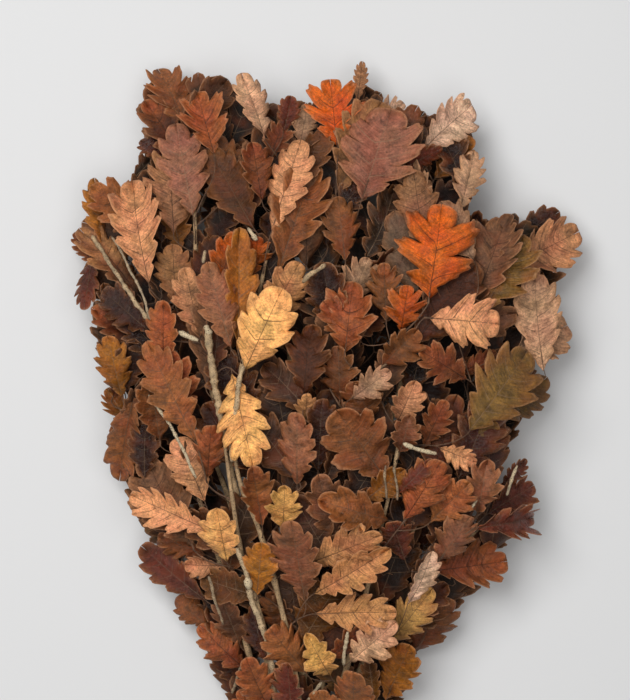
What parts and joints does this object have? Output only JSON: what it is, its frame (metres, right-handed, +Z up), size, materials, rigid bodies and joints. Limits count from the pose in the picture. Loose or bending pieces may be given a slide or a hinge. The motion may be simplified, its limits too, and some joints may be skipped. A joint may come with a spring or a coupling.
{
  "type": "bunch of autumn oak branches",
  "caption": "Tied bunch of cut oak branches covered in dried, lobed autumn leaves in brown, rust and orange, lying on its side.",
  "frame": {"origin": "middle of the bounding box, on the surface that the bunch lies on", "axes": "+Y from the cut ends towards the leaf tips, +Z up, +X across the bunch, to the right as seen from above with the leaf tips away"},
  "size_m": [0.5264, 0.8276, 0.1794],
  "materials": {
    "dried_oak_leaf": "dry leaf with a soft satin upper face and a matt, paler underside",
    "oak_bark": "grey-beige dry bark, rough and knobbly",
    "jute_twine": "matt twisted plant fibre"
  },
  "bodies": {
    "root": {"oak_branch_01": "dried_oak_leaf", "oak_branch_02": "dried_oak_leaf", "oak_branch_03": "dried_oak_leaf", "oak_branch_04": "dried_oak_leaf", "oak_branch_05": "dried_oak_leaf", "oak_branch_06": "dried_oak_leaf", "oak_branch_07": "dried_oak_leaf", "oak_branch_08": "dried_oak_leaf", "oak_branch_09": "dried_oak_leaf", "oak_branch_10": "dried_oak_leaf", "oak_branch_11": "dried_oak_leaf", "oak_branch_12": "dried_oak_leaf", "twine_tie": "jute_twine"}
  },
  "joints": []
}
